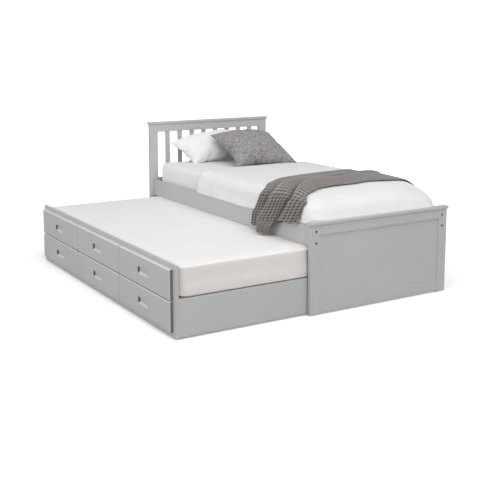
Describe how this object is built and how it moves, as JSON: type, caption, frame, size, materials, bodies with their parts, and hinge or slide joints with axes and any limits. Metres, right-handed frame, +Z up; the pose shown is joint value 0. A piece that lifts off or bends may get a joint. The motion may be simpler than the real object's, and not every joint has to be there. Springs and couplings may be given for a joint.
{
  "type": "trundle bed",
  "caption": "Single bed with slatted headboard, panelled footboard and made-up bedding, and a pull-out guest trundle on castors with drawers under its mattress.",
  "frame": {"origin": "centre, on the floor, of the box round the whole bed with the trundle pulled fully out", "axes": "+X across the bed, away from the side that the trundle comes out of; +Y from the foot to the headboard; +Z up"},
  "size_m": [1.795, 1.987, 0.894],
  "materials": {
    "painted_wood": "satin grey paint over smooth board",
    "bare_wood": "planed pine, uncoated",
    "hardboard": "pressed fibreboard, smooth face up",
    "dark_steel": "black oxide",
    "zinc_steel": "zinc plated",
    "nylon": "moulded",
    "castor_plastic": "moulded",
    "ticking": "white woven ticking",
    "bed_linen": "white cotton",
    "marl_weave": "grey marl weave",
    "chunky_knit": "taupe waffle knit"
  },
  "bodies": {
    "bed_frame": {"foot_post_left": "painted_wood", "foot_post_right": "painted_wood", "foot_cap": "painted_wood", "foot_top_rail": "painted_wood", "foot_bottom_rail": "painted_wood", "foot_panel": "painted_wood", "head_post_left": "painted_wood", "head_post_right": "painted_wood", "head_cap": "painted_wood", "head_top_rail": "painted_wood", "head_bottom_rail": "painted_wood", "head_slats": "painted_wood", "side_rail_left": "painted_wood", "side_rail_right": "painted_wood", "ledger_left": "bare_wood", "ledger_right": "bare_wood", "bed_slats": "bare_wood", "frame_bolts": "dark_steel", "barrel_nuts": "zinc_steel", "floor_glides": "nylon", "mattress": "ticking", "duvet": "bed_linen", "pillow": "bed_linen", "cushion": "marl_weave", "throw_blanket": "chunky_knit"},
    "trundle": {"trundle_front_board": "painted_wood", "trundle_front_sill": "painted_wood", "trundle_front_stiles": "painted_wood", "trundle_back": "painted_wood", "trundle_end_foot": "painted_wood", "trundle_end_head": "painted_wood", "trundle_dividers": "painted_wood", "trundle_ledgers": "bare_wood", "trundle_slats": "bare_wood", "drawer_runners": "bare_wood", "false_front_1": "painted_wood", "false_front_2": "painted_wood", "false_front_3": "painted_wood", "guest_mattress": "ticking", "castor_screws": "zinc_steel"},
    "wheel_1": {"castor_wheel_1": "castor_plastic"},
    "wheel_2": {"castor_wheel_2": "castor_plastic"},
    "wheel_3": {"castor_wheel_3": "castor_plastic"},
    "wheel_4": {"castor_wheel_4": "castor_plastic"},
    "drawer_1": {"drawer_front_1": "painted_wood", "drawer_inner_front_1": "painted_wood", "drawer_sides_1": "bare_wood", "drawer_back_1": "bare_wood", "drawer_bottom_1": "hardboard"},
    "drawer_2": {"drawer_front_2": "painted_wood", "drawer_inner_front_2": "painted_wood", "drawer_sides_2": "bare_wood", "drawer_back_2": "bare_wood", "drawer_bottom_2": "hardboard"},
    "drawer_3": {"drawer_front_3": "painted_wood", "drawer_inner_front_3": "painted_wood", "drawer_sides_3": "bare_wood", "drawer_back_3": "bare_wood", "drawer_bottom_3": "hardboard"}
  },
  "joints": [
    {"name": "trundle_slide", "type": "slide", "parent": "bed_frame", "child": "trundle", "axis": [1, 0, 0], "range_m": [0, 0.798]},
    {"name": "wheel_1_spin", "type": "hinge", "parent": "trundle", "child": "wheel_1", "pos_m": [-0.8235, -0.9245, 0.025], "axis": [0, 1, 0], "continuous": true},
    {"name": "wheel_2_spin", "type": "hinge", "parent": "trundle", "child": "wheel_2", "pos_m": [-0.0115, -0.9245, 0.025], "axis": [0, 1, 0], "continuous": true},
    {"name": "wheel_3_spin", "type": "hinge", "parent": "trundle", "child": "wheel_3", "pos_m": [-0.8235, 0.9245, 0.025], "axis": [0, 1, 0], "continuous": true},
    {"name": "wheel_4_spin", "type": "hinge", "parent": "trundle", "child": "wheel_4", "pos_m": [-0.0115, 0.9245, 0.025], "axis": [0, 1, 0], "continuous": true},
    {"name": "drawer_1_slide", "type": "slide", "parent": "trundle", "child": "drawer_1", "axis": [-1, 0, 0], "range_m": [0, 0.3]},
    {"name": "drawer_2_slide", "type": "slide", "parent": "trundle", "child": "drawer_2", "axis": [-1, 0, 0], "range_m": [0, 0.3]},
    {"name": "drawer_3_slide", "type": "slide", "parent": "trundle", "child": "drawer_3", "axis": [-1, 0, 0], "range_m": [0, 0.3]}
  ],
  "couplings": [
    {"joint": "wheel_1_spin", "follows": "trundle_slide", "rad_per_m": 40},
    {"joint": "wheel_2_spin", "follows": "trundle_slide", "rad_per_m": 40},
    {"joint": "wheel_3_spin", "follows": "trundle_slide", "rad_per_m": 40},
    {"joint": "wheel_4_spin", "follows": "trundle_slide", "rad_per_m": 40}
  ]
}
